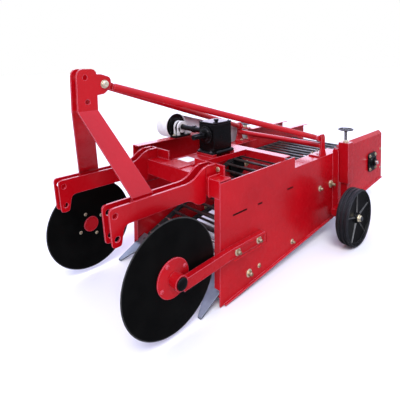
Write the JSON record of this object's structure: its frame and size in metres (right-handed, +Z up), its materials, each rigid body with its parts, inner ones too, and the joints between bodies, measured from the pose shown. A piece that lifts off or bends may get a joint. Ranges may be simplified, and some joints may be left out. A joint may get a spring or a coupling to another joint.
{
  "type": "potato digger",
  "caption": "Tractor-mounted potato digger: side plates, rod web, pointed shares, cutting discs, braced hitch mast, gearbox drive and gauge wheels on sliding legs.",
  "frame": {"origin": "middle of the bounding box's base, on the floor", "axes": "+X the machine's left side, +Y the rear where the rod web ends, +Z up"},
  "size_m": [1.348, 2.8, 1.292],
  "materials": {
    "red_paint": "gloss",
    "black_paint": "satin",
    "white_paint": "gloss",
    "grey_paint": "satin",
    "bright_steel": "bright",
    "share_steel": "blued",
    "screw_steel": "dull",
    "zinc_plate": "yellow zinc",
    "tyre": "matte"
  },
  "bodies": {
    "frame": {"chain_guard": "grey_paint", "conveyor_web": "bright_steel", "cross_tube": "red_paint", "drum_guard": "white_paint", "front_beam": "red_paint", "front_roller": "black_paint", "gearbox": "black_paint", "gearbox_deck": "red_paint", "left_brace": "red_paint", "left_brace_bracket": "red_paint", "left_deck_rail": "red_paint", "left_disc_arm": "red_paint", "left_handwheel": "screw_steel", "left_inner_hitch_plate": "red_paint", "left_leg_guide": "red_paint", "left_mast_bar": "red_paint", "left_outer_hitch_plate": "red_paint", "left_side_plate": "red_paint", "mast_pin": "zinc_plate", "rear_bearing": "black_paint", "rear_cross_bar": "red_paint", "right_brace": "red_paint", "right_brace_bracket": "red_paint", "right_deck_rail": "red_paint", "right_disc_arm": "red_paint", "right_handwheel": "screw_steel", "right_inner_hitch_plate": "red_paint", "right_leg_guide": "red_paint", "right_mast_bar": "red_paint", "right_outer_hitch_plate": "red_paint", "right_side_plate": "red_paint", "shaft_bearing": "grey_paint", "share_1": "share_steel", "share_2": "share_steel", "share_3": "share_steel", "share_4": "share_steel", "share_5": "share_steel", "share_beam": "red_paint", "web_drive_shaft": "bright_steel", "web_idler": "black_paint"},
    "left_disc": {"left_cutting_disc": "black_paint", "left_disc_hub": "red_paint"},
    "right_disc": {"right_cutting_disc": "black_paint", "right_disc_hub": "red_paint"},
    "left_leg": {"left_wheel_leg": "red_paint"},
    "right_leg": {"right_wheel_leg": "red_paint"},
    "left_wheel": {"left_tyre": "tyre", "left_wheel_rim": "grey_paint"},
    "right_wheel": {"right_tyre": "tyre", "right_wheel_rim": "grey_paint"},
    "pto": {"pto_shaft": "bright_steel"},
    "cross_drive": {"cross_shaft": "bright_steel"}
  },
  "joints": [
    {"name": "left_disc_spin", "type": "hinge", "parent": "frame", "child": "left_disc", "pos_m": [0.405, -1.12, 0.31], "axis": [1, 0, 0], "continuous": true},
    {"name": "left_leg_slide", "type": "slide", "parent": "frame", "child": "left_leg", "axis": [0, 0, 1], "range_m": [-0.05, 0.15]},
    {"name": "left_wheel_spin", "type": "hinge", "parent": "left_leg", "child": "left_wheel", "pos_m": [0.614, 0.354, 0.2], "axis": [1, 0, 0], "continuous": true},
    {"name": "right_disc_spin", "type": "hinge", "parent": "frame", "child": "right_disc", "pos_m": [-0.405, -1.12, 0.31], "axis": [1, 0, 0], "continuous": true},
    {"name": "right_leg_slide", "type": "slide", "parent": "frame", "child": "right_leg", "axis": [0, 0, 1], "range_m": [-0.05, 0.15]},
    {"name": "right_wheel_spin", "type": "hinge", "parent": "right_leg", "child": "right_wheel", "pos_m": [-0.614, 0.354, 0.2], "axis": [1, 0, 0], "continuous": true},
    {"name": "cross_shaft_spin", "type": "hinge", "parent": "frame", "child": "cross_drive", "pos_m": [-0.2, -0.4, 0.832], "axis": [1, 0, 0], "continuous": true},
    {"name": "pto_spin", "type": "hinge", "parent": "frame", "child": "pto", "pos_m": [0, -0.57, 0.832], "axis": [0, 1, 0], "continuous": true}
  ],
  "couplings": [
    {"joint": "pto_spin", "follows": "cross_shaft_spin", "ratio": 1}
  ]
}
